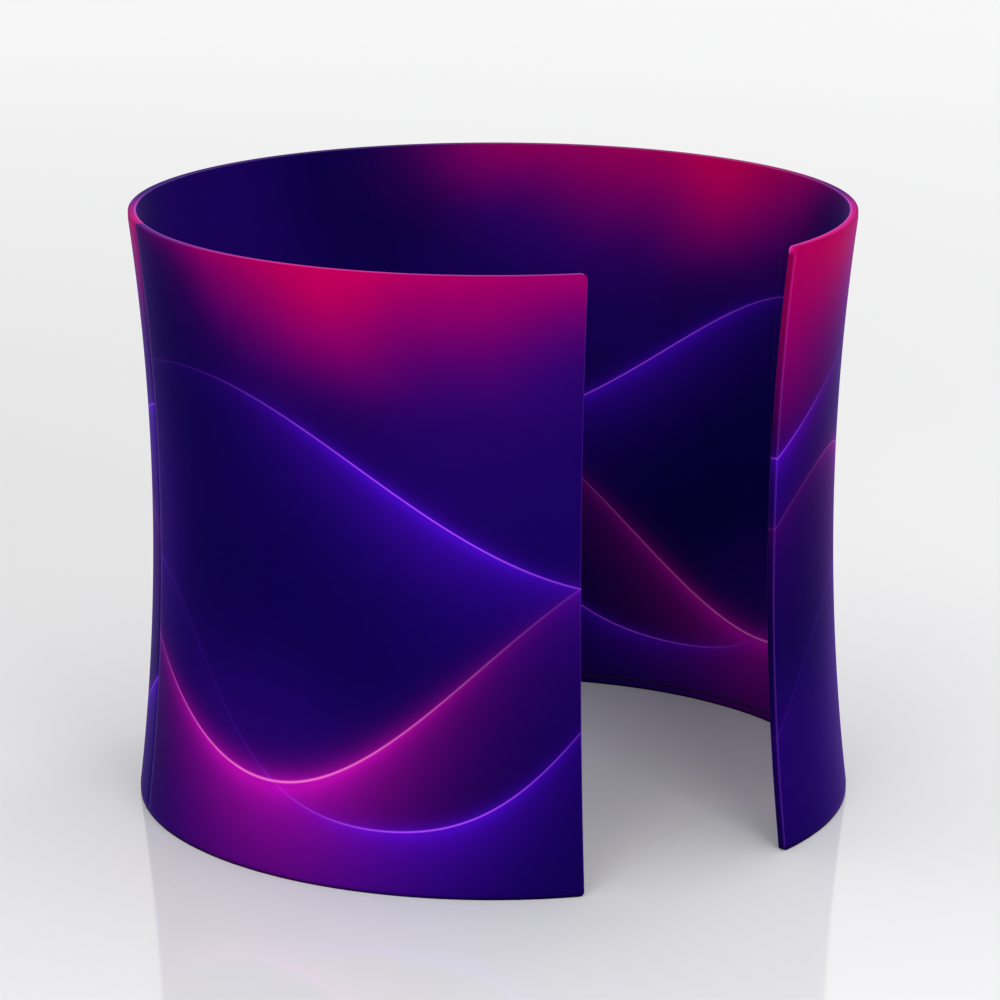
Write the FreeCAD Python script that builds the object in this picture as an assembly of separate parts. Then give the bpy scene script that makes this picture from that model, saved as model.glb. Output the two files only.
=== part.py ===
import FreeCAD, Part
import math
import os

# A free-standing round display wall: a waisted, C-shaped room of stretch cloth on a tube frame.
# Two hoops of square aluminium tube, bent in short steps and joined by push-fit nylon fittings,
# are held apart by bowed uprights. Each upright comes in two halves, locked by a spring button.
# A printed cloth cover is pulled over the frame like a pillowcase and zipped low on the inner face.
# Millimetres. The origin is the centre of the room on the floor, +Z is up, the doorway faces -Y.

# ---- the wall as a whole ----
wallHeight = 2440.0        # floor to the top of the rim
hoopRadius = 1450.0        # centre line of the hoops, to the middle of a straight step
waistInset = 74.0          # how far the wall draws in at half height
doorwayAngle = 39.5        # degrees between the two end uprights, about the room's centre
bayCount = 5               # stretches of wall between uprights
stepsPerBay = 10           # straight steps of a hoop, and flat facets of cloth, in one bay

# ---- frame tube and its push-fit fittings ----
tubeSize = 30.0            # outside of the square tube
tubeWall = 1.5
fitClearance = 0.3         # all round a spigot inside a tube
blockLength = 36.0         # middle block of a fitting, along the hoop
spigotLength = 46.0        # leg of a fitting that enters a tube
spigotRoot = 9.0           # how far the leg is rooted in its block
spigotTip = 6.0            # tapered lead-in at the end of a spigot
spigotTaper = 2.0          # how much the lead-in narrows each side

# ---- joint in the middle of an upright ----
jointHeight = 1220.0       # where the two halves meet
couplerDepth = 60.0        # reach of the coupler into each half
couplerWall = 1.5
buttonHeight = 30.0        # button above the joint
buttonRadius = 4.0
buttonClearance = 0.1
buttonProud = 2.5          # how far the button stands out of the tube
buttonTravel = 4.5
leafWidth = 12.0           # V-shaped leaf spring inside the coupler
leafThickness = 0.8
leafLength = 44.0
leafGap = 0.3              # from the sprung leg to the coupler's wall

# ---- cloth cover ----
clothGauge = 1.0
clothGap = 0.3             # between cloth and tube
cornerRound = 20.0         # rounded corner of the wall's ends
courses = 5                # flat courses of cloth between the two hoops
panelSteps = [11, 13, 13, 13]    # steps covered by each cut panel, starting right of the doorway

# ---- zip on the inner face ----
zipHeight = 12.0
zipThickness = 2.4
parkingAngle = 1.0         # degrees from the end upright to the parked slider
sliderGap = 0.3            # between the slider and the nearest teeth
sliderLength = 20.0
sliderHeight = 14.0
sliderThickness = 2.4
sliderChamfer = 2.5
archWidth = 6.0            # arch that holds the pull
archLength = 14.0
archThickness = 1.2
tunnelLength = 9.0         # opening under the arch
tunnelHeight = 2.6
pullBarRadius = 0.9
pullClearance = 0.4
pullArm = 1.6
pullThickness = 1.6
pullLength = 34.0

# ---- worked out from the sizes above ----
bore = tubeSize - 2 * tubeWall
half = tubeSize / 2
spigotSize = bore - 2 * fitClearance
couplerSize = bore - 2 * fitClearance
couplerBore = couplerSize - 2 * couplerWall
hoopHeight = clothGauge + half                   # middle of the bottom hoop
landTop = clothGauge + tubeSize                  # top of the bottom hoop
headHeight = wallHeight - landTop                # underside of the top hoop
midHeight = wallHeight / 2
halfRise = midHeight - landTop
bowRadius = (halfRise ** 2 + waistInset ** 2) / (2 * waistInset)
firstAngle = -90 + doorwayAngle / 2              # right-hand end upright, from +X
bayAngle = (360 - doorwayAngle) / bayCount
lastAngle = firstAngle + bayAngle * bayCount
stepAngle = bayAngle / stepsPerBay
stepCount = stepsPerBay * bayCount
courseSag = (2 * halfRise / courses) ** 2 / (8 * bowRadius)
outerLining = half + clothGap                    # hidden face of the outer cloth
innerLining = -(half + clothGap + courseSag)     # hidden face of the inner cloth
outerFace = outerLining + clothGauge
innerFace = innerLining - clothGauge
endLining = half + clothGap                      # past the end upright's middle
endFace = endLining + clothGauge
zipBottom = landTop                              # the zip starts where the wall starts to lean
zipTop = zipBottom + zipHeight
zipMiddle = (zipBottom + zipTop) / 2

origin = FreeCAD.Vector(0, 0, 0)
up = FreeCAD.Vector(0, 0, 1)
outward = FreeCAD.Vector(1, 0, 0)
along = FreeCAD.Vector(0, 1, 0)


# ---- helpers ----

def centreRadius(z):
    """Radius of the wall's middle at a height: straight past the hoops, an arc between them."""
    fromMiddle = min(abs(z - midHeight), halfRise)
    return hoopRadius - waistInset + bowRadius - math.sqrt(bowRadius ** 2 - fromMiddle ** 2)


def turned(shape, angle):
    """A copy turned about the room's axis."""
    copy = shape.copy()
    copy.rotate(origin, up, angle)
    return copy


def topSide(shape):
    """The same piece for the top hoop."""
    return shape.mirror(FreeCAD.Vector(0, 0, midHeight), up)


def box(xs, ys, zs):
    """A box between two values each way, given in either order."""
    low = FreeCAD.Vector(min(xs), min(ys), min(zs))
    return Part.makeBox(max(xs) - low.x, max(ys) - low.y, max(zs) - low.z, low)


def flatFace(points):
    return Part.Face(Part.makePolygon(list(points) + [points[0]]))


def ribbon(sections):
    """A closed solid of flat facets through a row of loops, each of as many points."""
    faces = [flatFace(sections[0]), flatFace(sections[-1])]
    for near, far in zip(sections, sections[1:]):
        for i in range(len(near)):
            k = (i + 1) % len(near)
            faces.append(flatFace([near[i], near[k], far[k], far[i]]))
    shell = Part.makeShell(faces)
    shell.sewShape()
    solid = Part.makeSolid(shell)
    if solid.Volume < 0:
        solid.reverse()
    return solid


def squareLoop(size, radius, z):
    """(radius, height) corners of a square centred on a radius and a height."""
    h = size / 2
    return [(radius - h, z - h), (radius + h, z - h), (radius + h, z + h), (radius - h, z + h)]


def stood(loop, angle, shift=0.0):
    """A (radius, height) loop stood up at an angle and moved along the wall's tangent there."""
    c = math.cos(math.radians(angle))
    s = math.sin(math.radians(angle))
    return [FreeCAD.Vector(r * c - shift * s, r * s + shift * c, z) for r, z in loop]


def bend(loop, number):
    """A loop stood at one of the wall's bends, half way between two straight steps."""
    stretch = 1 / math.cos(math.radians(stepAngle / 2))
    return stood([(r * stretch, z) for r, z in loop], firstAngle + stepAngle * (number + 0.5))


def roundWall(loop, reach):
    """A loop carried round the whole wall, past the end uprights by a reach."""
    bends = [bend(loop, i) for i in range(stepCount)]
    return ribbon([stood(loop, firstAngle, -reach)] + bends + [stood(loop, lastAngle, reach)])


def save(name, shape):
    shape.exportStep("parts/" + name + ".step")
    print(name, len(shape.Solids), shape.isValid(), round(shape.Volume / 1000, 2), "cm3")


# ---- frame ----

def hoopTube(bay):
    """One bay of the bottom hoop: square tube that butts on a fitting's block at each end."""
    start = firstAngle + bayAngle * bay
    walls = []
    for size in (tubeSize, bore):
        loop = squareLoop(size, hoopRadius, hoopHeight)
        sections = [stood(loop, start, blockLength / 2)]
        sections += [bend(loop, stepsPerBay * bay + i) for i in range(stepsPerBay)]
        sections.append(stood(loop, start + bayAngle, -blockLength / 2))
        walls.append(ribbon(sections))
    return walls[0].cut(walls[1])


def bowedBar(size, low, high):
    """A square bar that follows the waist between two heights."""
    h = size / 2
    rims = []
    for offset in (h, -h):
        heights = (low, (low + high) / 2, high)
        rims.append([FreeCAD.Vector(centreRadius(z) + offset, -h, z) for z in heights])
    outer, inner = rims
    foot = Part.makeLine(inner[0], outer[0])
    head = Part.makeLine(outer[2], inner[2])
    wire = Part.Wire([foot, Part.Arc(*outer).toShape(), head, Part.Arc(*inner).toShape()])
    return Part.Face(wire).extrude(along * size)


def buttonHole(side):
    """A round hole through tube and coupler, on one side of the upright."""
    z = jointHeight + buttonHeight
    start = FreeCAD.Vector(centreRadius(z), 0, z)
    return Part.makeCylinder(buttonRadius + buttonClearance, tubeSize, start, along * side)


def lowerHalf(side):
    """Lower half of an upright, with the coupler that enters the upper half."""
    tube = bowedBar(tubeSize, landTop, jointHeight).cut(bowedBar(bore, landTop, jointHeight))
    pressed = bowedBar(bore, jointHeight - couplerDepth, jointHeight)
    free = bowedBar(couplerSize, jointHeight, jointHeight + couplerDepth)
    hollow = bowedBar(couplerBore, jointHeight - couplerDepth, jointHeight + couplerDepth)
    return tube.fuse([pressed, free]).cut([hollow, buttonHole(side)])


def upperHalf(side):
    """Upper half of an upright."""
    tube = bowedBar(tubeSize, jointHeight, headHeight).cut(bowedBar(bore, jointHeight, headHeight))
    return tube.cut(buttonHole(side))


def springButton(side):
    """Pin and V-shaped leaf spring in one: the pin locks the two halves of an upright."""
    z = jointHeight + buttonHeight
    x = centreRadius(z)
    nearLeg = couplerBore / 2 - leafGap
    farLeg = -(nearLeg - buttonTravel)
    top = z + leafWidth / 2
    bottom = top - leafLength
    t = leafThickness
    outline = [(nearLeg, top), (nearLeg, z), (t, bottom), (-t, bottom), (farLeg, top),
               (farLeg + t, top), (0, bottom + 2 * t), (nearLeg - t, z), (nearLeg - t, top)]
    leaf = flatFace([FreeCAD.Vector(x - leafWidth / 2, y * side, h) for y, h in outline])
    start = FreeCAD.Vector(x, (nearLeg - t / 2) * side, z)
    pin = Part.makeCylinder(buttonRadius, half + buttonProud - nearLeg + t / 2, start, along * side)
    return pin.fuse(leaf.extrude(outward * leafWidth))


def spigot():
    """A square leg along +Z with a tapered lead-in; its root runs on below the origin."""
    h = spigotSize / 2
    stations = [(h, -spigotRoot), (h, spigotLength - spigotTip), (h - spigotTaper, spigotLength)]
    signs = ((1, 1), (-1, 1), (-1, -1), (1, -1))
    return ribbon([[FreeCAD.Vector(x * s, y * s, z) for x, y in signs] for s, z in stations])


def hoopSpigot(side):
    """The leg that enters a hoop tube."""
    leg = spigot()
    leg.rotate(origin, outward, -90 * side)
    leg.translate(FreeCAD.Vector(hoopRadius, blockLength / 2 * side, hoopHeight))
    return leg


def uprightSpigot():
    """The leg that enters the foot of an upright and leans with it."""
    middle = landTop + spigotLength / 2
    leg = spigot()
    leg.translate(up * (-spigotLength / 2))
    leg.rotate(origin, along, -math.degrees(math.asin((midHeight - middle) / bowRadius)))
    leg.translate(FreeCAD.Vector(centreRadius(middle), 0, middle))
    return leg


def fittingBlock(fromY, toY):
    xs = (hoopRadius - half, hoopRadius + half)
    return box(xs, (fromY, toY), (clothGauge, landTop))


def teeFitting():
    """Bottom tee: a block between two hoop tubes and under an upright."""
    block = fittingBlock(-blockLength / 2, blockLength / 2)
    return block.fuse([hoopSpigot(1), hoopSpigot(-1), uprightSpigot()])


def cornerFitting(side):
    """Bottom corner: the end of the hoop under an end upright, on the side where the wall ends."""
    block = fittingBlock(-blockLength / 2 * side, half * side)
    block = block.cut(cornerWaste(cornerRound - clothGauge, half, clothGauge, side))
    return block.fuse([hoopSpigot(-side), uprightSpigot()])


def cornerWaste(radius, reach, z, side):
    """What a rounded lower corner of the wall's end loses, right through the wall."""
    near = hoopRadius - 2 * tubeSize
    depth = 4 * tubeSize
    centre = FreeCAD.Vector(near, (reach - radius) * side, z + radius)
    margin = tubeSize
    block = box((near, near + depth), (centre.y, (reach + margin) * side), (z - margin, centre.z))
    return block.cut(Part.makeCylinder(radius, depth, centre, outward))


# ---- cover ----

def levels(low, high):
    """Heights between the flat courses of cloth, from one height to another."""
    step = 2 * halfRise / courses
    seams = [landTop + step * i for i in range(courses + 1)]
    return [low] + [z for z in seams if low < z < high] + [high]


def clothLoop(lining, face, low, high):
    """Section of a panel: up its hidden face and down the one that shows."""
    heights = levels(low, high)
    hidden = [(centreRadius(z) + lining, z) for z in heights]
    shown = [(centreRadius(z) + face, z) for z in reversed(heights)]
    return hidden + shown


def clothPanel(lining, face, low, first, last):
    """A cut panel of cloth between two bends, or out to the wall's end with its corners rounded."""
    loop = clothLoop(lining, face, low, wallHeight - clothGauge)
    sections = [bend(loop, i) for i in range(max(first - 1, 0), min(last, stepCount))]
    corners = []
    if first == 0:
        sections.insert(0, stood(loop, firstAngle, -endLining))
        corners = endCorners(low, -1, firstAngle)
    if last == stepCount:
        sections.append(stood(loop, lastAngle, endLining))
        corners = endCorners(low, 1, lastAngle)
    panel = ribbon(sections)
    return panel.cut(corners) if corners else panel


def endCorners(low, side, angle):
    """Waste at the corners that a panel has at the wall's end."""
    waste = cornerWaste(cornerRound - clothGauge, endLining, clothGauge, side)
    pieces = [topSide(waste)]
    if low < landTop:
        pieces.append(waste)
    return [turned(piece, angle) for piece in pieces]


def edgeSection(ys, z):
    """Four corners of the cloth's edge strip where it runs upright at the wall's end."""
    outer = centreRadius(z) + outerFace
    inner = centreRadius(z) + innerFace
    loop = [(outer, ys[0]), (inner, ys[0]), (inner, ys[1]), (outer, ys[1])]
    return [FreeCAD.Vector(x, y, z) for x, y in loop]


def endBand(side):
    """The edge strip's run up the wall's end, between the two hoops."""
    ys = (endFace * side, endLining * side)
    return ribbon([edgeSection(ys, z) for z in levels(landTop, headHeight)])


def cornerBand(side):
    """The edge strip round a lower corner: a quarter ring as wide as the wall, and a short riser."""
    xs = (hoopRadius + innerFace, hoopRadius + outerFace)
    centre = FreeCAD.Vector(xs[0], (endFace - cornerRound) * side, cornerRound)
    ring = Part.makeCylinder(cornerRound, xs[1] - xs[0], centre, outward)
    ring = ring.cut(Part.makeCylinder(cornerRound - clothGauge, xs[1] - xs[0], centre, outward))
    quarter = ring.common(box(xs, (centre.y, endFace * side), (0, cornerRound)))
    riser = box(xs, (endLining * side, endFace * side), (cornerRound, landTop))
    return quarter.fuse(riser)


def withCorners(strip):
    """The edge strip finished with its corners at both ends of the wall."""
    return strip.fuse([turned(cornerBand(-1), firstAngle), turned(cornerBand(1), lastAngle)])


def gusset():
    """The cloth's edge strip: up one end of the wall, over the rim and down the other end."""
    inner = hoopRadius + innerFace
    outer = hoopRadius + outerFace
    loop = [(inner, 0), (outer, 0), (outer, clothGauge), (inner, clothGauge)]
    strip = withCorners(roundWall(loop, endFace - cornerRound))
    ends = [turned(endBand(-1), firstAngle), turned(endBand(1), lastAngle)]
    return topSide(strip).fuse(ends).removeSplitter()


def hem():
    """The cloth's bottom edge: under the hoop, up its inner side to the zip, and up both ends."""
    inner = hoopRadius + innerFace
    lining = hoopRadius + innerLining
    outer = hoopRadius + outerFace
    under = [(inner, 0), (outer, 0), (outer, clothGauge), (inner, clothGauge)]
    strip = withCorners(roundWall(under, endFace - cornerRound))
    rise = [(inner, clothGauge), (lining, clothGauge), (lining, zipBottom), (inner, zipBottom)]
    upstand = roundWall(rise, endLining)
    waste = cornerWaste(cornerRound - clothGauge, endLining, clothGauge, 1)
    waste = [turned(waste, lastAngle), turned(waste.mirror(origin, along), firstAngle)]
    return strip.fuse(upstand.cut(waste)).removeSplitter()


# ---- zip ----

def zipTeeth():
    """The closed teeth and their tape: a band round the inner face, between hem and panels."""
    foot = centreRadius(zipBottom) + innerLining
    head = centreRadius(zipTop) + innerLining
    back = [(foot, zipBottom), (head, zipTop)]
    front = [(head - zipThickness, zipTop), (foot - zipThickness, zipBottom)]
    return roundWall(back + front, endLining)


def plateFront():
    """Radius of the slider's front: its back passes the nearest teeth by the slider's gap."""
    return centreRadius(zipTop) + innerLining - zipThickness - sliderGap - sliderThickness


def zipSlider():
    """Slider plate, on the room's side of the teeth, and the arch that holds the pull."""
    x = plateFront()
    h = sliderHeight / 2
    ys = (-sliderLength / 2, sliderLength / 2)
    plate = box((x, x + sliderThickness), ys, (zipMiddle - h, zipMiddle + h))
    corners = [e for e in plate.Edges if e.BoundBox.XLength > sliderThickness / 2]
    plate = plate.makeChamfer(sliderChamfer, corners)
    roof = x - tunnelHeight
    zs = (zipMiddle - archWidth / 2, zipMiddle + archWidth / 2)
    arch = box((roof - archThickness, x), (-archLength / 2, archLength / 2), zs)
    tunnel = box((roof, x), (-tunnelLength / 2, tunnelLength / 2), zs)
    return plate.fuse(arch.cut(tunnel))


def zipPull():
    """Pull tab: a bar through the arch, an arm each side of it and a flat tab along the wall."""
    x = plateFront() - tunnelHeight / 2
    near = archWidth / 2 + pullClearance
    far = near + pullArm
    archCorner = math.hypot(archLength / 2, tunnelHeight / 2 + archThickness)
    reach = archCorner + pullClearance
    xs = (x - pullThickness / 2, x + pullThickness / 2)
    bar = Part.makeCylinder(pullBarRadius, 2 * far, FreeCAD.Vector(x, 0, zipMiddle - far), up)
    arms = [box(xs, (0, reach), (zipMiddle + near * s, zipMiddle + far * s)) for s in (-1, 1)]
    tab = box(xs, (reach, pullLength), (zipMiddle - far, zipMiddle + far))
    return bar.fuse(arms + [tab])


# ---- the assembly ----

def saveFrame():
    for bay in range(bayCount):
        tube = hoopTube(bay)
        save("bottom_hoop_tube_%d" % (bay + 1), tube)
        save("top_hoop_tube_%d" % (bay + 1), topSide(tube))
    for i in range(1, bayCount):
        tee = turned(teeFitting(), firstAngle + bayAngle * i)
        save("bottom_tee_%d" % i, tee)
        save("top_tee_%d" % i, topSide(tee))
    for name, side, angle in (("right", -1, firstAngle), ("left", 1, lastAngle)):
        corner = turned(cornerFitting(side), angle)
        save("bottom_corner_" + name, corner)
        save("top_corner_" + name, topSide(corner))


def saveUprights():
    for i in range(bayCount + 1):
        side = 1 if i == 0 else -1       # the button faces into the wall
        angle = firstAngle + bayAngle * i
        save("upright_%d_lower" % (i + 1), turned(lowerHalf(side), angle))
        save("upright_%d_upper" % (i + 1), turned(upperHalf(side), angle))
        save("upright_%d_button" % (i + 1), turned(springButton(side), angle))


def saveCover():
    first = 0
    for number, steps in enumerate(panelSteps, 1):
        last = first + steps
        save("outer_panel_%d" % number, clothPanel(outerLining, outerFace, clothGauge, first, last))
        save("inner_panel_%d" % number, clothPanel(innerLining, innerFace, zipTop, first, last))
        first = last
    save("edge_gusset", gusset())
    save("bottom_hem", hem())


def saveZip():
    parked = lastAngle - parkingAngle
    save("zip_teeth", zipTeeth())
    save("zip_slider", turned(zipSlider(), parked))
    save("zip_pull", turned(zipPull(), parked))


os.makedirs("parts", exist_ok=True)
saveFrame()
saveUprights()
saveCover()
saveZip()
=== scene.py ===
import bpy
import bmesh
import math
from mathutils import Matrix, Vector


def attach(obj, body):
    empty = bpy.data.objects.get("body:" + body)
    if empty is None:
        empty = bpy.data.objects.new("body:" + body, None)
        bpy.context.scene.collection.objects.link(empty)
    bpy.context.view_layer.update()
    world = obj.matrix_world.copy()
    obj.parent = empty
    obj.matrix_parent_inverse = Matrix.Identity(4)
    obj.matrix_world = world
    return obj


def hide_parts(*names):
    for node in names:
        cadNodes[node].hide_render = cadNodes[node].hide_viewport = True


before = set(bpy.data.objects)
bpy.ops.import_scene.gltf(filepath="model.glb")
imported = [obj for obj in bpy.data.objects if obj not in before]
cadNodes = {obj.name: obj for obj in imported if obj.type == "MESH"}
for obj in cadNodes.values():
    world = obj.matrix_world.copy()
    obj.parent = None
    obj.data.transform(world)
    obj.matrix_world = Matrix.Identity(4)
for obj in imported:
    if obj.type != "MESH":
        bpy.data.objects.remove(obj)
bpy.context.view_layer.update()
scene = bpy.context.scene
wallBody = "frame_and_cover"
print("frame loaded")

# the wall as a whole, in metres and degrees; angles run from the first end upright round the room
wall = {
    "height": 2.44,
    "land": 0.031,           # upright strip beside each hoop
    "waistInset": 0.074,     # how far the wall draws in at half height
    "outerRadius": 1.4681,   # outer face at the hoops
    "hoopRadius": 1.45,      # middle of the hoop tubes
    "thickness": 0.034,
    "doorway": 39.5,         # between the two end uprights
    "bays": 5,
    "endReach": 0.0164,      # wall past the middle of an end upright
    "endNear": 0.01,         # points this near an end's angle belong to it
    "columns": 200,
    "rows": 34,
    "corner": 0.02,          # rounding of the wall's four corners
    "cornerSteps": 6,
    "edgeRound": 0.004,      # rounding of the rim and the ends
    "edgeSteps": 3,
    "seams": [0, 42, 94, 146, 200],    # columns where the cut panels begin and end
    "panelFacing": 0.975,    # a panel's faces look at least this straight outwards or inwards
}
halfRise = wall["height"] / 2 - wall["land"]
bowRadius = (halfRise ** 2 + wall["waistInset"] ** 2) / (2 * wall["waistInset"])
sweep = 360 - wall["doorway"]
firstAngle = wall["doorway"] / 2 - 90
lastAngle = firstAngle + sweep
innerRadius = wall["outerRadius"] - wall["thickness"]
panelCount = len(wall["seams"]) - 1


# small helpers

sharpEdge = math.radians(50)             # edges that turn by more than this are rounded
weld = 1e-5                              # points nearer than this are one
rodSides = 6


def newPiece(name, bm, material, body=None, replaced=()):
    mesh = bpy.data.meshes.new(name)
    for face in bm.faces:
        face.smooth = True
    bm.to_mesh(mesh)
    bm.free()
    mesh.materials.append(material)
    piece = bpy.data.objects.new(name, mesh)
    scene.collection.objects.link(piece)
    if body:
        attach(piece, body)
    if replaced:
        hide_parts(*replaced)
    return piece


def turn(bm, degrees, axis="Z"):
    matrix = Matrix.Rotation(math.radians(degrees), 3, axis)
    bmesh.ops.rotate(bm, cent=(0, 0, 0), matrix=matrix, verts=bm.verts[:])


def spin(bm, centre, axis, degrees, steps, copies=False):
    bmesh.ops.spin(bm, geom=bm.verts[:] + bm.edges[:] + bm.faces[:], cent=centre, axis=axis, dvec=(0, 0, 0),
                   use_duplicate=copies, angle=math.radians(degrees), steps=steps)


def roundEdges(bm, offset, segments):
    sharp = [e for e in bm.edges if e.is_manifold and e.calc_face_angle() > sharpEdge]
    bmesh.ops.bevel(bm, geom=sharp, offset=offset, segments=segments, profile=0.5, affect="EDGES",
                    material=-1)


def roundCorners(bm, corners, offset, segments):
    bmesh.ops.bevel(bm, geom=corners, offset=offset, segments=segments, profile=0.5, affect="VERTICES",
                    material=-1, clamp_overlap=False)


def rod(bm, radius, length):
    return bmesh.ops.create_cone(bm, cap_ends=True, segments=rodSides, radius1=radius, radius2=radius,
                                 depth=length)["verts"]


def angleAlong(point):
    # degrees round the room from the first upright, a little under 0 on the wall's reach past it
    degrees = math.degrees(math.atan2(point.y, point.x)) - firstAngle
    halfDoorway = wall["doorway"] / 2
    return (degrees + halfDoorway) % 360 - halfDoorway


def facing(face):
    # how far a face looks away from the room's axis: 1 outwards, -1 inwards
    centre = face.calc_center_median()
    return face.normal.dot(Vector((centre.x, centre.y, 0)).normalized())


def bowInset(z):
    # how far the wall has drawn in at a height
    fromMiddle = min(abs(z - wall["height"] / 2), halfRise)
    return wall["waistInset"] - bowRadius + math.sqrt(bowRadius ** 2 - fromMiddle ** 2)


# shader helpers

def plug(tree, socket, value):
    if isinstance(value, bpy.types.NodeSocket):
        tree.links.new(value, socket)
    else:
        socket.default_value = value


def addNode(tree, kind, inputs=None, **settings):
    made = tree.nodes.new(kind)
    for key, value in settings.items():
        setattr(made, key, value)
    for key, value in (inputs or {}).items():
        plug(tree, made.inputs[key], value)
    return made


def calc(tree, operation, a, b=0.0, c=0.0):
    return addNode(tree, "ShaderNodeMath", {0: a, 1: b, 2: c}, operation=operation).outputs[0]


def blendColour(tree, factor, a, b, mode="MIX"):
    inputs = {0: factor, 6: a, 7: b}
    return addNode(tree, "ShaderNodeMix", inputs, data_type="RGBA", blend_type=mode).outputs[2]


def ramp(tree, value, low, high, toLow=0.0, toHigh=1.0, kind="SMOOTHSTEP"):
    inputs = {0: value, 1: low, 2: high, 3: toLow, 4: toHigh}
    return addNode(tree, "ShaderNodeMapRange", inputs, interpolation_type=kind).outputs[0]


def noise(tree, vector, scale, detail, roughness=0.5):
    inputs = {"Vector": vector, "Scale": scale, "Detail": detail, "Roughness": roughness}
    return addNode(tree, "ShaderNodeTexNoise", inputs).outputs[0]


def splitUp(tree, vector):
    return addNode(tree, "ShaderNodeSeparateXYZ", {0: vector}).outputs


def awayFrom(tree, value, middle):
    return calc(tree, "ABSOLUTE", calc(tree, "SUBTRACT", value, middle))


def newGroup(name, inputs, outputs):
    tree = bpy.data.node_groups.new(name, "ShaderNodeTree")
    for socket, default in inputs.items():
        kind = "NodeSocketVector" if default is None else "NodeSocketFloat"
        made = tree.interface.new_socket(name=socket, in_out="INPUT", socket_type=kind)
        if default is not None:
            made.default_value = default
    for socket in outputs:
        tree.interface.new_socket(name=socket, in_out="OUTPUT", socket_type="NodeSocketFloat")
    return tree, addNode(tree, "NodeGroupInput").outputs, addNode(tree, "NodeGroupOutput").inputs


def useGroup(tree, group, **inputs):
    return addNode(tree, "ShaderNodeGroup", inputs, node_tree=group).outputs


def newMaterial(name, **plain):
    material = bpy.data.materials.new(name)
    material.use_nodes = True
    shader = material.node_tree.nodes["Principled BSDF"]
    for key, value in plain.items():
        shader.inputs[key.replace("_", " ")].default_value = value
    return material, material.node_tree, shader


def addBump(tree, shader, height, strength, distance):
    bump = addNode(tree, "ShaderNodeBump", {"Height": height, "Strength": strength, "Distance": distance})
    tree.links.new(bump.outputs[0], shader.inputs["Normal"])


# shared effects

# one long wave of light: a thin bright crest, a glow, and a veil on one side of it
waveLook = {
    "veilEdge": (-0.003, 0.01),      # metres below the crest between which the veil sets in
    "veilPower": 0.85,       # how sharply each of the three falls off
    "linePower": 2.0,
    "glowPower": 1.0,
    "faintest": 0.05,        # what is left where the wave fades
}


def makeWave():
    tree, given, put = newGroup("lightWave", {
        "Along": 0.0, "Height": 0.0, "Level": 1.2, "Swell": 0.3, "Length": 3.0, "Shift": 0.0, "Ripple": 0.05,
        "RippleLength": 1.3, "Veil": 0.4, "Line": 0.004, "Glow": 0.03, "FadeLength": 4.0, "FadeShift": 0.0},
        ("Line", "Glow", "Veil"))

    def wave(length, shift):
        turns = calc(tree, "DIVIDE", given["Along"], length)
        return calc(tree, "SINE", calc(tree, "MULTIPLY_ADD", turns, 2 * math.pi, shift))

    def falloff(distance, width, power):
        share = calc(tree, "POWER", calc(tree, "DIVIDE", distance, width), power)
        return calc(tree, "EXPONENT", calc(tree, "MULTIPLY", share, -1.0))

    crest = calc(tree, "MULTIPLY_ADD", wave(given["Length"], given["Shift"]), given["Swell"], given["Level"])
    ripple = wave(given["RippleLength"], given["FadeShift"])
    crest = calc(tree, "MULTIPLY_ADD", ripple, given["Ripple"], crest)
    below = calc(tree, "SUBTRACT", crest, given["Height"])
    away = calc(tree, "ABSOLUTE", below)
    fade = calc(tree, "MULTIPLY_ADD", wave(given["FadeLength"], given["FadeShift"]), 0.5, 0.5)
    fade = calc(tree, "POWER", fade, 2.0)
    fade = calc(tree, "MULTIPLY_ADD", fade, 1 - waveLook["faintest"], waveLook["faintest"])
    veil = falloff(calc(tree, "MAXIMUM", below, 0.0), given["Veil"], waveLook["veilPower"])
    veil = calc(tree, "MULTIPLY", veil, ramp(tree, below, *waveLook["veilEdge"]))
    line = falloff(away, given["Line"], waveLook["linePower"])
    glow = falloff(away, given["Glow"], waveLook["glowPower"])
    for name, value in {"Line": line, "Glow": glow, "Veil": veil}.items():
        tree.links.new(calc(tree, "MULTIPLY", value, fade), put[name])
    return tree


# a soft patch of haze that hangs from the rim
def makeHaze():
    tree, given, put = newGroup("hazePatch", {
        "Along": 0.0, "Height": 0.0, "Middle": 0.0, "Top": 2.5, "Width": 0.8, "Drop": 0.6, "Lean": 0.0},
        ("Mask",))
    drop = calc(tree, "SUBTRACT", given["Top"], given["Height"])
    middle = calc(tree, "MULTIPLY_ADD", drop, given["Lean"], given["Middle"])
    aside = calc(tree, "SUBTRACT", given["Along"], middle)
    total = 0.0
    for distance, size in ((aside, "Width"), (drop, "Drop")):
        share = calc(tree, "DIVIDE", distance, given[size])
        total = calc(tree, "MULTIPLY_ADD", share, share, total)
    tree.links.new(calc(tree, "EXPONENT", calc(tree, "MULTIPLY", total, -1.0)), put["Mask"])
    return tree


# fine warp knit: ribs of small loops
knitLook = {
    "slant": 0.9,            # how far the loops zigzag
    "loops": 0.45,           # the loops' and the ribs' shares of the height
    "ribs": 0.55,
    "patchScale": 9.0,
    "patchTone": (0.14, 0.93),       # range and lowest tone of the faint patches
}


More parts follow.
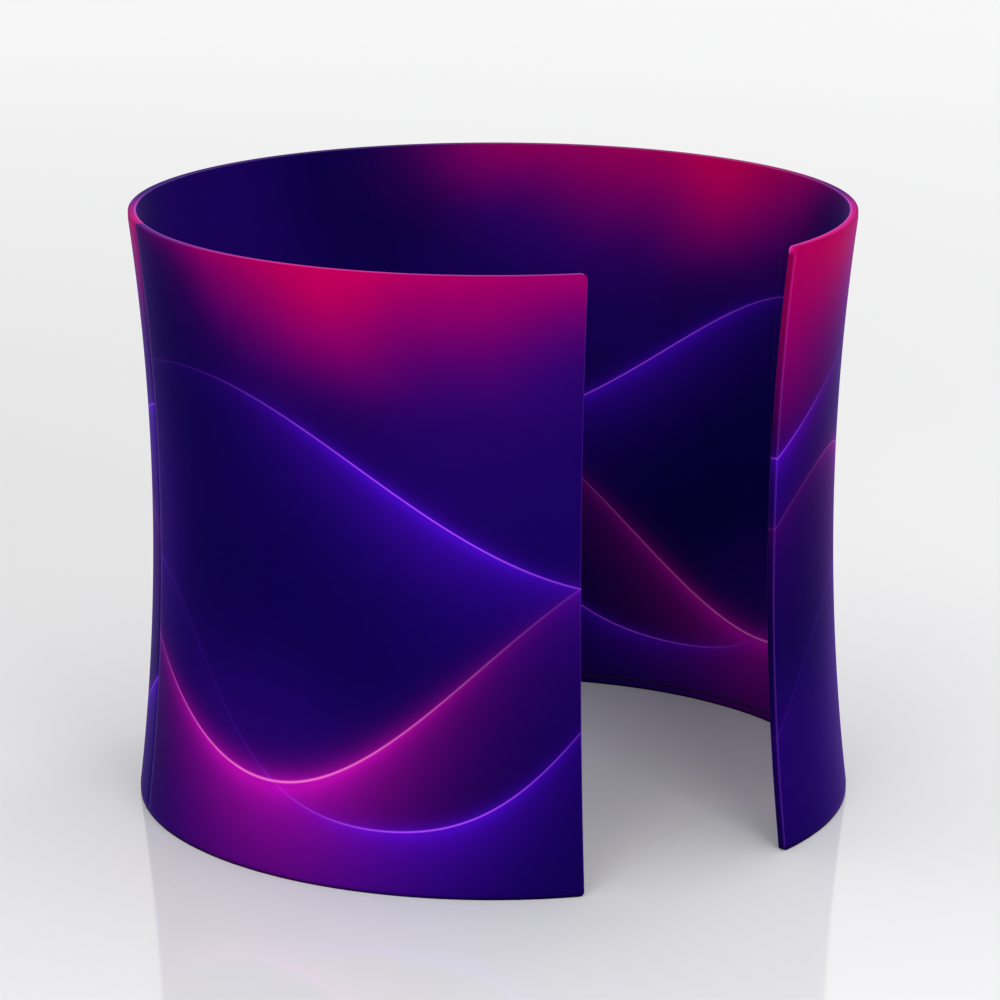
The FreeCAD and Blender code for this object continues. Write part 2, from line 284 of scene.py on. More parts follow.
def makeKnit():
    tree, given, put = newGroup("knitSurface", {
        "Vector": None, "Wale": 0.0009, "Course": 0.0007}, ("Height", "Shade"))
    split = splitUp(tree, given["Vector"])
    across = calc(tree, "MULTIPLY", calc(tree, "DIVIDE", split[0], given["Wale"]), 2 * math.pi)
    upward = calc(tree, "MULTIPLY", calc(tree, "DIVIDE", split[1], given["Course"]), 2 * math.pi)
    rib = calc(tree, "ABSOLUTE", calc(tree, "SINE", calc(tree, "MULTIPLY", across, 0.5)))
    zigzag = calc(tree, "MULTIPLY_ADD", calc(tree, "SINE", across), knitLook["slant"], upward)
    loops = calc(tree, "MULTIPLY_ADD", calc(tree, "SINE", zigzag), 0.5, 0.5)
    ribs = calc(tree, "MULTIPLY", rib, knitLook["ribs"])
    tree.links.new(calc(tree, "MULTIPLY_ADD", loops, knitLook["loops"], ribs), put["Height"])
    patches = noise(tree, given["Vector"], scale=knitLook["patchScale"], detail=3.0)
    tree.links.new(calc(tree, "MULTIPLY_ADD", patches, *knitLook["patchTone"]), put["Shade"])
    return tree


# fine lines along drawn or brushed metal, and faint handling marks
drawnLook = {
    "markScale": 0.13,
    "lineTone": (0.8, 0.15),         # range and lowest tone of the lines
    "markRough": 0.18,               # what marks and lines add to the roughness
    "lineRough": 0.1,
    "roughDrop": -0.09,
    "darkest": 0.66,         # the lines' darkest tone against the metal's colour
}


def makeDrawn():
    tree, given, put = newGroup("drawnMetal", {
        "Vector": None, "Rough": 0.3}, ("Height", "Shade", "Roughness"))
    lines = noise(tree, given["Vector"], scale=1.0, detail=4.0, roughness=0.6)
    marks = noise(tree, given["Vector"], scale=drawnLook["markScale"], detail=3.0, roughness=0.6)
    tree.links.new(lines, put["Height"])
    tree.links.new(calc(tree, "MULTIPLY_ADD", lines, *drawnLook["lineTone"]), put["Shade"])
    rough = calc(tree, "ADD", given["Rough"], drawnLook["roughDrop"])
    rough = calc(tree, "MULTIPLY_ADD", marks, drawnLook["markRough"], rough)
    tree.links.new(calc(tree, "MULTIPLY_ADD", lines, drawnLook["lineRough"], rough), put["Roughness"])
    return tree


# moulded plastic: a fine spark-eroded grain over slow flow marks
mouldedLook = {
    "grainScale": 2600.0,
    "flowScale": 45.0,
    "flowTone": (0.3, 0.85),         # range and lowest tone of the flow marks
    "flowRough": 0.16,               # what they add to the roughness
}


def makeMoulded():
    tree, given, put = newGroup("mouldedGrain", {
        "Vector": None, "Rough": 0.5}, ("Height", "Shade", "Roughness"))
    grain = noise(tree, given["Vector"], scale=mouldedLook["grainScale"], detail=2.0, roughness=0.6)
    flow = noise(tree, given["Vector"], scale=mouldedLook["flowScale"], detail=3.0)
    tree.links.new(grain, put["Height"])
    tree.links.new(calc(tree, "MULTIPLY_ADD", flow, *mouldedLook["flowTone"]), put["Shade"])
    rough = calc(tree, "MULTIPLY_ADD", flow, mouldedLook["flowRough"], given["Rough"])
    tree.links.new(rough, put["Roughness"])
    return tree


lightWave = makeWave()
hazePatch = makeHaze()
knitSurface = makeKnit()
drawnMetal = makeDrawn()
mouldedGrain = makeMoulded()

# the print: night blue with slow waves of violet and pink light, and crimson haze under the rim
printColours = {
    "night": (0.0040, 0.0006, 0.064, 1),
    "dusk": (0.0130, 0.0012, 0.118, 1),
    "violet": (0.040, 0.0015, 0.34, 1),
    "violetLine": (0.42, 0.06, 1.0, 1),
    "magenta": (0.42, 0.002, 0.27, 1),
    "magentaLine": (1.0, 0.17, 0.66, 1),
    "crimson": (0.44, 0.0, 0.085, 1),
    "plum": (0.085, 0.0, 0.125, 1),
}
printHazes = [   # places are metres along the wall and above the floor
    {"Middle": 3.30, "Top": 2.62, "Width": 0.95, "Drop": 0.50, "Lean": 0.1},
    {"Middle": 2.20, "Top": 2.68, "Width": 0.90, "Drop": 0.17, "Lean": 0.0},
    {"Middle": 1.00, "Top": 2.80, "Width": 0.40, "Drop": 0.62, "Lean": -0.3},
    {"Middle": -0.90, "Top": 2.62, "Width": 0.55, "Drop": 0.45, "Lean": 0.4},
    {"Middle": -2.60, "Top": 2.62, "Width": 0.50, "Drop": 0.45, "Lean": 0.4},
    {"Middle": -4.60, "Top": 2.60, "Width": 1.05, "Drop": 0.70, "Lean": -0.6},
]
printWaves = [
    {"tint": "magenta", "Level": 0.95, "Swell": 0.52, "Length": 4.6, "Shift": 1.1, "Ripple": 0.07,
     "RippleLength": 2.1, "Veil": 0.24, "Line": 0.0042, "Glow": 0.04, "FadeLength": 3.1, "FadeShift": 2.2},
    {"tint": "violet", "Level": 0.62, "Swell": 0.42, "Length": 2.9, "Shift": 3.9, "Ripple": 0.05,
     "RippleLength": 1.3, "Veil": 0.17, "Line": 0.0032, "Glow": 0.026, "FadeLength": 2.3, "FadeShift": 4.6},
    {"tint": "violet", "Level": 1.52, "Swell": 0.42, "Length": 5.7, "Shift": 5.6, "Ripple": 0.06,
     "RippleLength": 2.3, "Veil": 0.16, "Line": 0.0030, "Glow": 0.028, "FadeLength": 2.9, "FadeShift": 0.4},
]
printBlend = {
    "cloudScale": 0.6,
    "cloudEdge": (0.38, 0.62),       # noise between which night turns to dusk
    "patchScale": 1.1,
    "patchEdge": (0.25, 0.75, 0.7, 1.3),     # noise, and how weak and how strong it makes the haze
    "plumEdge": (0.0, 0.5),          # haze between which each of its two colours sets in
    "crimsonEdge": (0.12, 0.95),
    "light": 0.78,           # strength of the waves' veils and glows
}
# the print runs on round the wall's outside and breaks at one seam; the inside shows another part of it
printShift = {"outer": (-0.8, -0.8, -0.8, 0.0), "inner": 5.0}


def paintPrint(tree, cloth):
    along, height = splitUp(tree, cloth)[:2]
    clouds = noise(tree, cloth, scale=printBlend["cloudScale"], detail=1.0, roughness=0.4)
    cloudy = ramp(tree, clouds, *printBlend["cloudEdge"])
    colour = blendColour(tree, cloudy, printColours["night"], printColours["dusk"])
    total = 0.0
    for settings in printHazes:
        patch = useGroup(tree, hazePatch, Along=along, Height=height, **settings)["Mask"]
        total = calc(tree, "ADD", patch, total)
    patches = noise(tree, cloth, scale=printBlend["patchScale"], detail=1.0, roughness=0.4)
    uneven = calc(tree, "MULTIPLY", total, ramp(tree, patches, *printBlend["patchEdge"]))
    for tint in ("plum", "crimson"):
        share = ramp(tree, uneven, *printBlend[tint + "Edge"])
        colour = blendColour(tree, share, colour, printColours[tint])
    for settings in printWaves:
        values = {key: value for key, value in settings.items() if key != "tint"}
        wave = useGroup(tree, lightWave, Along=along, Height=height, **values)
        tint = settings["tint"]
        light = calc(tree, "MULTIPLY", calc(tree, "ADD", wave["Veil"], wave["Glow"]), printBlend["light"])
        colour = blendColour(tree, light, colour, printColours[tint], "ADD")
        colour = blendColour(tree, wave["Line"], colour, printColours[tint + "Line"])
    return colour


# painted shade on the cloth at the floor: two heights, and the print's tone at each
paintedFootShade = (0.002, 0.018, 0.2, 1.0)
# the edge strip's painted light and shade, its tones and painted highlight lines; places across it are
# metres outwards from its middle
edgeTone = {
    "middle": 1.4511,        # where the strip's middle lies on its map
    "reach": (0.020, 0.021),         # how far to each side the tones go, and where they have ended
    "rim": (2.40, 2.43),     # heights between which the strip turns over from an end to the rim
    "paintedTones": (0.6, 1.25),    # painted shade and light: the strip's tone against the panels, at the ends and along the rim
    "giveWay": (0.004, 0.013),       # where its tone becomes the panels'
    # painted light: a lilac lift added over the rim
    "rimPaintedLight": (0.018, 0.004, 0.045, 1),
    "backMiddle": -0.8,      # along the back of the room the rim has the inside's print, with a tone of painted shade in place of the rim's painted light
    "backReach": (1.8, 2.3),
    "backPaintedShade": 0.8,
    "innerLine": -0.0115,    # a painted highlight: a pale line near the rim's inner edge
    "innerReach": (0.001, 0.0065),
    "innerShine": (0.10, 0.042, 0.145, 1),
    "outerRise": (0.008, 0.013),     # a softer painted highlight along the outer edge of the ends
    "outerFall": (0.0150, 0.0175, 1.0, 0.6),
    "outerShine": (0.03, 0.006, 0.065, 1),
}


def edgeLook(tree, colour, tone, height, yarn):
    # painted light and shade: the strip is paler than the panels over the rim and darker on the ends, with a
    # painted highlight along one edge
    split = splitUp(tree, yarn)
    side = calc(tree, "SUBTRACT", split[1], edgeTone["middle"])
    turned = ramp(tree, calc(tree, "ABSOLUTE", side), *edgeTone["reach"], 1.0, 0.0)
    rim = calc(tree, "MULTIPLY", ramp(tree, height, *edgeTone["rim"]), turned)
    inward = ramp(tree, side, *edgeTone["giveWay"], 1.0, 0.0)
    # painted light over the rim
    colour = blendColour(tree, calc(tree, "MULTIPLY", rim, inward), colour, edgeTone["rimPaintedLight"], "ADD")
    along = calc(tree, "SUBTRACT", split[0], height)
    shifted = calc(tree, "ADD", along, printShift["inner"])
    inside = addNode(tree, "ShaderNodeCombineXYZ", {0: shifted, 1: height}).outputs[0]
    fromBack = awayFrom(tree, along, edgeTone["backMiddle"])
    back = calc(tree, "MULTIPLY", ramp(tree, fromBack, *edgeTone["backReach"], 1.0, 0.0), rim)
    colour = blendColour(tree, back, colour, paintPrint(tree, inside))
    # painted highlight near the rim's inner edge
    fromLine = awayFrom(tree, side, edgeTone["innerLine"])
    line = calc(tree, "MULTIPLY", rim, ramp(tree, fromLine, *edgeTone["innerReach"], 1.0, 0.0))
    colour = blendColour(tree, line, colour, edgeTone["innerShine"], "ADD")
    # softer painted highlight along the outer edge of the ends
    onEnd = calc(tree, "SUBTRACT", turned, rim)
    rise, fall = (ramp(tree, side, *edgeTone[part]) for part in ("outerRise", "outerFall"))
    soft = calc(tree, "MULTIPLY", calc(tree, "MULTIPLY", rise, fall), onEnd)
    colour = blendColour(tree, soft, colour, edgeTone["outerShine"], "ADD")
    # painted light and shade: the strip's tone is raised over the rim, lowered on the ends and along the
    # back
    change = ramp(tree, rim, 0.0, 1.0, *edgeTone["paintedTones"], kind="LINEAR")
    change = calc(tree, "MULTIPLY_ADD", back, edgeTone["backPaintedShade"] - edgeTone["paintedTones"][1], change)
    share = calc(tree, "MULTIPLY", inward, turned)
    change = calc(tree, "MULTIPLY_ADD", share, calc(tree, "SUBTRACT", change, 1.0), 1.0)
    return colour, calc(tree, "MULTIPLY", tone, change)


# printed stretch knit, for the panels or for the strips that edge them, with painted shade at the floor and,
# on the strips, painted light and shade
def makeCloth(name, edged):
    material, tree, shader = newMaterial(name, Roughness=0.7, Specular_IOR_Level=0.0, Sheen_Weight=0.35,
                                         Sheen_Roughness=0.25, Sheen_Tint=(0.45, 0.25, 0.95, 1))
    cloth, yarn = (addNode(tree, "ShaderNodeUVMap", uv_map=uvMap).outputs[0] for uvMap in ("cloth", "knit"))
    knit = useGroup(tree, knitSurface, Vector=yarn)
    colour = paintPrint(tree, cloth)
    height = splitUp(tree, cloth)[1]
    # the knit's own random tone, times the painted shade at the floor
    tone = calc(tree, "MULTIPLY", knit["Shade"], ramp(tree, height, *paintedFootShade))
    if edged:
        colour, tone = edgeLook(tree, colour, tone, height, yarn)
    grey = addNode(tree, "ShaderNodeCombineXYZ", {0: tone, 1: tone, 2: tone}).outputs[0]
    tree.links.new(blendColour(tree, 1.0, colour, grey, "MULTIPLY"), shader.inputs["Base Color"])
    addBump(tree, shader, knit["Height"], strength=0.2, distance=0.0003)
    return material


# grain is how close the lines lie along x, y and z: they run where it is smallest
def makeMetal(name, colour, rough, grain):
    material, tree, shader = newMaterial(name, Metallic=1.0)
    place = addNode(tree, "ShaderNodeTexCoord").outputs["Object"]
    place = addNode(tree, "ShaderNodeMapping", {"Vector": place, "Scale": grain}).outputs[0]
    drawn = useGroup(tree, drawnMetal, Vector=place, Rough=rough)
    dark = [part * drawnLook["darkest"] for part in colour[:3]] + [1]
    tree.links.new(blendColour(tree, drawn["Shade"], dark, colour), shader.inputs["Base Color"])
    tree.links.new(drawn["Roughness"], shader.inputs["Roughness"])
    addBump(tree, shader, drawn["Height"], strength=0.15, distance=0.0002)
    return material


def makePlastic(name, colour, pale, rough, gloss=0.45):
    material, tree, shader = newMaterial(name, Specular_IOR_Level=gloss)
    place = addNode(tree, "ShaderNodeTexCoord").outputs["Object"]
    grain = useGroup(tree, mouldedGrain, Vector=place, Rough=rough)
    tree.links.new(blendColour(tree, grain["Shade"], colour, pale), shader.inputs["Base Color"])
    tree.links.new(grain["Roughness"], shader.inputs["Roughness"])
    addBump(tree, shader, grain["Height"], strength=0.2, distance=0.0002)
    return material


clothPrint = makeCloth("printed stretch knit", edged=False)
clothEdge = makeCloth("printed edge strip", edged=True)
silver = (0.72, 0.73, 0.75, 1)
uprightMetal = makeMetal("anodised tube", silver, rough=0.34, grain=(600, 600, 9))
hoopMetal = makeMetal("anodised rolled tube", silver, rough=0.36, grain=(45, 45, 900))
springSteel = makeMetal("spring steel", (0.6, 0.6, 0.61, 1), rough=0.26, grain=(1500, 1500, 60))
blackEnamel = makePlastic("black enamel", (0.012, 0.012, 0.014, 1), (0.03, 0.03, 0.033, 1), rough=0.22)
nylon = makePlastic("moulded nylon", (0.022, 0.022, 0.024, 1), (0.05, 0.05, 0.053, 1), rough=0.5)
thread = makePlastic("sewing thread", (0.02, 0.012, 0.09, 1), (0.05, 0.03, 0.16, 1), rough=0.55)
coilNylon = makePlastic("zip coil", (0.010, 0.002, 0.045, 1), (0.025, 0.006, 0.09, 1), rough=0.5,
                        gloss=0.12)
print("materials made")

# where the zip lies on the wall's inner face
zipPlace = {
    "top": 0.043,            # the tape's upper edge above the floor
    "middle": 0.037,         # the coil's middle above the floor
    "tapeDepth": 0.0008,     # how far the tape lies in from the panels' face
    "parked": 1.0,           # degrees from the last upright to the slider
}


# the closed form of the wall: one vertex is spun into the bowed column, and the column round the room
def wallForm():
    outer, land, height = wall["outerRadius"], wall["land"], wall["height"]
    bm = bmesh.new()
    bm.verts.new((outer, 0, land))
    bowCentre = (outer - wall["waistInset"] + bowRadius, 0, height / 2)
    spin(bm, bowCentre, (0, 1, 0), math.degrees(2 * math.asin(halfRise / bowRadius)), wall["rows"])
    ends = [v for v in bm.verts if len(v.link_edges) == 1]
    for made in bmesh.ops.extrude_vert_indiv(bm, verts=ends)["verts"]:
        made.co.z = 0 if made.co.z < height / 2 else height
    turn(bm, firstAngle)
    spin(bm, (0, 0, 0), (0, 0, 1), sweep, wall["columns"])
    bmesh.ops.remove_doubles(bm, verts=bm.verts[:], dist=weld)
    for v in bm.verts:                   # the ends run on straight, past their uprights
        for angle, side in ((0, -1), (sweep, 1)):
            if abs(angleAlong(v.co) - angle) < wall["endNear"]:
                v.co += Vector((-v.co.y, v.co.x, 0)).normalized() * wall["endReach"] * side
                break
    roundCorners(bm, [v for v in bm.verts if len(v.link_edges) == 2], wall["corner"], wall["cornerSteps"])
    bm.normal_update()
    bm.faces.ensure_lookup_table()
    if facing(bm.faces[len(bm.faces) // 2]) < 0:
        bmesh.ops.reverse_faces(bm, faces=bm.faces[:])
    bmesh.ops.solidify(bm, geom=bm.faces[:], thickness=wall["thickness"])
    bmesh.ops.recalc_face_normals(bm, faces=bm.faces[:])
    roundEdges(bm, wall["edgeRound"], wall["edgeSteps"])
    bmesh.ops.bisect_plane(bm, geom=bm.verts[:] + bm.edges[:] + bm.faces[:], dist=weld,
                           plane_co=(0, 0, zipPlace["top"]), plane_no=(0, 0, 1))
    bm.normal_update()
    return bm


def panelAt(degrees):
    number = 1
    while number < panelCount and degrees > wall["seams"][number] * sweep / wall["columns"]:
        number += 1
    return number


def sortFace(face):
    # the cut piece of the cover that a face of the form belongs to
    centre = face.calc_center_median()
    number = panelAt(angleAlong(centre))
    if facing(face) > wall["panelFacing"]:
        return "outer_panel_%d" % number
    if facing(face) > -wall["panelFacing"]:
        return "bottom_hem" if centre.z < wall["land"] else "edge_gusset"
    if centre.z < wall["land"]:
        return "bottom_hem"
    return "zip_tape" if centre.z < zipPlace["top"] else "inner_panel_%d" % number


form = wallForm()
kinds = [sortFace(face) for face in form.faces]
print("wall form made, faces:", len(kinds))

# cloth pieces: the edge of each is turned in a little, so that two pieces meet in a sewn groove
sewing = {
    "turnWidth": 0.0012,
    "turnDepth": 0.0004,
    "gauge": 0.0006,
    "uprightFacing": 0.7,    # a face that looks this straight outwards or inwards has its knit upright
    "inwardFacing": -0.3,    # one that looks further inwards than this has the inside's print
}


def mapCloth(bm, strip=False):
    # two UV maps in metres: one for the print, one that runs with the knit round the edge strips
    cloth = bm.loops.layers.uv.new("cloth")
    knit = bm.loops.layers.uv.new("knit")
    for face in bm.faces:
        upright = abs(facing(face)) > sewing["uprightFacing"] and not strip
        inside = facing(face) < sewing["inwardFacing"]
        number = panelAt(angleAlong(face.calc_center_median()))
        shift = printShift["inner"] if inside else printShift["outer"][number - 1]
        for loop in face.loops:
            co = loop.vert.co
            u = math.radians(angleAlong(co) - sweep / 2) * wall["hoopRadius"]
            loop[cloth].uv = (u + shift, co.z)
            loop[knit].uv = (u, co.z) if upright else (u + co.z, math.hypot(co.x, co.y) + bowInset(co.z))


def cutOut(kind):
    # a copy of the wall's form that keeps only the faces of one kind
    bm = form.copy()
    unwanted = [face for face, other in zip(bm.faces, kinds) if other != kind]
    bmesh.ops.delete(bm, geom=unwanted, context="FACES")
    return bm


def clothPiece(kind, name, material, slot):
    bm = cutOut(kind)
    area = sum(face.calc_area() for face in bm.faces)
    bmesh.ops.inset_region(bm, faces=bm.faces[:], thickness=sewing["turnWidth"], depth=0,
                           use_boundary=True, use_even_offset=True)
    bm.normal_update()
    for v in bm.verts:
        if v.is_boundary:
            v.co -= v.normal * sewing["turnDepth"]
    mapCloth(bm, kind == "edge_gusset")
    piece = newPiece(name, bm, material, wallBody, [kind])
    skin = piece.modifiers.new("cloth gauge", "SOLIDIFY")
    skin.thickness = sewing["gauge"]
    skin.offset = -1
    return piece, area


for number in range(1, panelCount + 1):
    for side, radius in (("outer", wall["outerRadius"]), ("inner", innerRadius)):
        names = ["%s_%s_%d" % (side, word, number) for word in ("panel", "cloth")]
        panel, area = clothPiece(*names, clothPrint, "cloth_print")

# zip: tape, two interlocking rows of coil, stops, and the stitching on both sides
zipParts = {
    "pitch": 0.0028,
    "coilRadius": 0.0011,
    "coilStretch": (1.35, 0.95, 1),
    "coilLength": 0.0036,
    "coilReach": 0.0013,     # from the zip's middle to the middle of a row
    "coilOut": 0.0014,       # from the cloth's face to the coil's middle
    "stopSize": (0.0034, 0.005, 0.009),
    "stopRound": 0.0008,
    "stopSteps": 3,
    "stopMargin": 0.4,       # degrees from the end uprights
    "stitch": 0.0034,
    "threadRadius": 0.0003,
    "stitchLength": 0.0026,
    "stitchLevels": (0.0285, 0.0460),        # heights above the floor
    "margin": 0.75,          # degrees left free at each end
    "run": 51,               # copies made one by one, before the whole run is copied
}

bm = cutOut("zip_tape")
bm.normal_update()
for v in bm.verts:
    v.co -= v.normal * zipPlace["tapeDepth"]
mapCloth(bm)
zipTape = newPiece("zip_tape", bm, clothEdge, wallBody, ["zip_teeth"])
zipTape.modifiers.new("tape gauge", "SOLIDIFY").thickness = sewing["gauge"]


def innerFace(z):
    # radius of the inner face at a height; above the hoop the wall leans, and its thickness is square to it
    lean = math.asin(min(wall["height"] / 2 - z, halfRise) / bowRadius) if z > wall["land"] else 0
    return wall["outerRadius"] - bowInset(z) - wall["thickness"] / math.cos(lean)


coilRing = innerFace(zipPlace["middle"]) - zipParts["coilOut"]


def roundTheRoom(bm, pitch, radius, lead=0.0):
    # copies of a small shape round the inner face: first a run of them, then copies of that run
    span = sweep - 2 * zipParts["margin"]
    run = zipParts["run"]
    runs = round(math.radians(span) * radius / pitch / run)
    step = span / (run * runs)
    turn(bm, firstAngle + zipParts["margin"] + lead)
    spin(bm, (0, 0, 0), (0, 0, 1), step * (run - 1), run - 1, copies=True)
    spin(bm, (0, 0, 0), (0, 0, 1), step * run * (runs - 1), runs - 1, copies=True)


def zipRow(name, side):
    bm = bmesh.new()
    rod(bm, zipParts["coilRadius"], zipParts["coilLength"])
    bmesh.ops.scale(bm, vec=zipParts["coilStretch"], verts=bm.verts[:])
    z = zipPlace["middle"] + zipParts["coilReach"] * side
    bmesh.ops.translate(bm, vec=(coilRing, 0, z), verts=bm.verts[:])
    quarterPitch = math.degrees(zipParts["pitch"] / coilRing / 4)
    roundTheRoom(bm, zipParts["pitch"], coilRing, quarterPitch * side)
    return newPiece(name, bm, coilNylon, wallBody)


def stitching(name):
    bm = bmesh.new()
    for z in zipParts["stitchLevels"]:
        made = rod(bm, zipParts["threadRadius"], zipParts["stitchLength"])
        bmesh.ops.rotate(bm, cent=(0, 0, 0), matrix=Matrix.Rotation(math.pi / 2, 3, "X"), verts=made)
        bmesh.ops.translate(bm, vec=(innerFace(z), 0, z), verts=made)
    roundTheRoom(bm, zipParts["stitch"], innerRadius)
    return newPiece(name, bm, thread, wallBody)


def zipStop(name, angle):
    bm = bmesh.new()
    bmesh.ops.create_cube(bm, size=1)
    bmesh.ops.scale(bm, vec=zipParts["stopSize"], verts=bm.verts[:])
    bmesh.ops.translate(bm, vec=(coilRing, 0, zipPlace["middle"]), verts=bm.verts[:])
    roundEdges(bm, zipParts["stopRound"], zipParts["stopSteps"])
    turn(bm, angle)
    return newPiece(name, bm, blackEnamel, wallBody)


zipPieces = [zipTape, zipRow("zip_coil_upper", 1), zipRow("zip_coil_lower", -1), stitching("zip_stitching")]
zipPieces += [zipStop("zip_stop_right", firstAngle + zipParts["stopMargin"]),
              zipStop("zip_stop_left", lastAngle - zipParts["stopMargin"])]

# the strip over the rim and the ends, and the hem under the wall and up to the zip
strip, area = clothPiece("edge_gusset", "edge_strip", clothEdge, "cloth_edge")
hem, area = clothPiece("bottom_hem", "hem_strip", clothEdge, "cloth_edge")
form.free()
print("cover and zip made")

# slider and pull tab, parked beside the last upright
slider = {
    "front": 1.42516,        # from the room's middle to the slider's front
    "depth": 0.0054,
    "length": 0.02,
    "height": 0.014,
    "narrow": 0.74,          # the tail's height against the nose's
    "edgeRound": 0.0013,
    "edgeSteps": 4,
    "archInside": 0.0026,
    "archThickness": 0.0012,
    "archSteps": 14,
    "archStretch": 1.75,
    "archHalf": 0.003,       # half of the arch's height
    "archRound": 0.0003,
    "archRoundSteps": 2,
    "sunk": 0.0003,          # how far the arch's feet go into the body
}
pull = {
    "alongs": (-0.0009, 0.0009, 0.0083, 0.034),      # the plate's and its window's edges, from the pivot
    "ups": (-0.005, -0.0034, 0.0034, 0.005),
    "thickness": 0.0016,
    "tipRound": 0.0032,
    "tipSteps": 6,
    "rootRound": 0.0008,
    "rootSteps": 3,
    "edgeRound": 0.0003,
    "edgeSteps": 2,
    "pivotOut": 0.0013,      # from the slider's front to the pull's pivot
    "ridges": 6,
    "ridgePitch": 0.0022,
    "ridgeSize": (0.0022, 0.0008, 0.0066),
    "firstRidge": 0.0185,
}
parkedAngle = lastAngle - zipPlace["parked"]


def makeSlider():
    bm = bmesh.new()
    bmesh.ops.create_cube(bm, size=1)
    bmesh.ops.scale(bm, vec=(slider["depth"], slider["length"], slider["height"]), verts=bm.verts[:])
    bmesh.ops.scale(bm, vec=(1, 1, slider["narrow"]), verts=[v for v in bm.verts if v.co.y < 0])
    roundEdges(bm, slider["edgeRound"], slider["edgeSteps"])
    middle = slider["front"] + slider["depth"] / 2
    bmesh.ops.translate(bm, vec=(middle, 0, zipPlace["middle"]), verts=bm.verts[:])
    arch = bmesh.new()
    near, far, up = slider["archInside"], slider["archInside"] + slider["archThickness"], slider["archHalf"]
    arch.faces.new([arch.verts.new((0, y, z)) for y, z in ((near, -up), (far, -up), (far, up), (near, up))])
    spin(arch, (0, 0, 0), (0, 0, 1), 180, slider["archSteps"])
    bmesh.ops.remove_doubles(arch, verts=arch.verts[:], dist=weld)
    bmesh.ops.recalc_face_normals(arch, faces=arch.faces[:])
    bmesh.ops.scale(arch, vec=(1, slider["archStretch"], 1), verts=arch.verts[:])
    roundEdges(arch, slider["archRound"], slider["archRoundSteps"])
    foot = slider["front"] + slider["sunk"]
    bmesh.ops.translate(arch, vec=(foot, 0, zipPlace["middle"]), verts=arch.verts[:])
    joined = bpy.data.meshes.new("arch")
    arch.to_mesh(joined)
    arch.free()
    bm.from_mesh(joined)
    bpy.data.meshes.remove(joined)
    turn(bm, parkedAngle)
    newPiece("slider_body", bm, blackEnamel, "zip_slider", ["zip_slider"])


def moveLines(bm, axis, places):
    # puts the lines of a flat grid at given places along one axis
    lines = sorted({round(v.co[axis], 4) for v in bm.verts})
    for v in bm.verts:
        v.co[axis] = places[lines.index(round(v.co[axis], 4))]


def makePull():
    bm = bmesh.new()
    bmesh.ops.create_grid(bm, x_segments=3, y_segments=3, size=1)
    turn(bm, 90, "Y")                    # from the floor's plane to the zip's
    moveLines(bm, 1, pull["alongs"])
    moveLines(bm, 2, pull["ups"])
    middle = Vector((0, (pull["alongs"][1] + pull["alongs"][2]) / 2, 0))
    window = min(bm.faces, key=lambda face: (face.calc_center_median() - middle).length)
    bmesh.ops.delete(bm, geom=[window], context="FACES")
    corners = [v for v in bm.verts if len(v.link_edges) == 2]
    roots = [v for v in corners if v.co.y < middle.y]
    roundCorners(bm, [v for v in corners if v.co.y > middle.y], pull["tipRound"], pull["tipSteps"])
    roundCorners(bm, roots, pull["rootRound"], pull["rootSteps"])
    bmesh.ops.solidify(bm, geom=bm.faces[:], thickness=pull["thickness"])
    bmesh.ops.recalc_face_normals(bm, faces=bm.faces[:])
    bmesh.ops.translate(bm, vec=(-sum(v.co.x for v in bm.verts) / len(bm.verts), 0, 0), verts=bm.verts[:])
    roundEdges(bm, pull["edgeRound"], pull["edgeSteps"])
    for number in range(pull["ridges"]):
        ridge = bmesh.ops.create_cube(bm, size=1)["verts"]
        bmesh.ops.scale(bm, vec=pull["ridgeSize"], verts=ridge)
        bmesh.ops.translate(bm, vec=(0, pull["firstRidge"] + pull["ridgePitch"] * number, 0), verts=ridge)
    pivot = slider["front"] - pull["pivotOut"]
    bmesh.ops.translate(bm, vec=(pivot, 0, zipPlace["middle"]), verts=bm.verts[:])
    turn(bm, parkedAngle)
    newPiece("pull_tab", bm, blackEnamel, "zip_pull", ["zip_pull"])


makeSlider()
makePull()
print("slider made")

# hoops: square tube rolled to a smooth curve, between the blocks of the fittings
hoop = {
    "size": 0.03,
    "gauge": 0.0015,
    "round": 0.0025,
    "roundSteps": 3,
    "block": 0.036,          # a fitting's block between two tubes
    "steps": 40,
    "lift": 0.001,           # the cloth under the tube
}


def hoopTube(bay, level):
    bm = bmesh.new()
    bmesh.ops.create_circle(bm, segments=4, radius=hoop["size"] / math.sqrt(2))
    turn(bm, 45)
    turn(bm, 90, "X")
    roundCorners(bm, bm.verts[:], hoop["round"], hoop["roundSteps"])
    low = hoop["lift"] + hoop["size"] / 2
    z = wall["height"] - low if level == "top" else low
    bmesh.ops.translate(bm, vec=(wall["hoopRadius"], 0, z), verts=bm.verts[:])
    gap = math.degrees(hoop["block"] / 2 / wall["hoopRadius"])
    turn(bm, firstAngle + sweep / wall["bays"] * bay + gap)
    spin(bm, (0, 0, 0), (0, 0, 1), sweep / wall["bays"] - 2 * gap, hoop["steps"])
    bmesh.ops.remove_doubles(bm, verts=bm.verts[:], dist=weld)
    bmesh.ops.recalc_face_normals(bm, faces=bm.faces[:])
    bmesh.ops.solidify(bm, geom=bm.faces[:], thickness=hoop["gauge"])
    name, node = ["%s_%s_%d" % (level, word, bay + 1) for word in ("hoop", "hoop_tube")]
    newPiece(name, bm, hoopMetal, wallBody, [node])


for bay in range(wall["bays"]):
    for level in ("bottom", "top"):
        hoopTube(bay, level)

# the rest of the frame keeps its solids and gets its finishes
finishes = {"_tee_": nylon, "_corner_": nylon, "_lower": uprightMetal, "_upper": uprightMetal,
            "_button": springSteel}
for name, node in cadNodes.items():
    for part, material in finishes.items():
        if part in name:
            node.data.materials.clear()
            node.data.materials.append(material)
print("frame made")
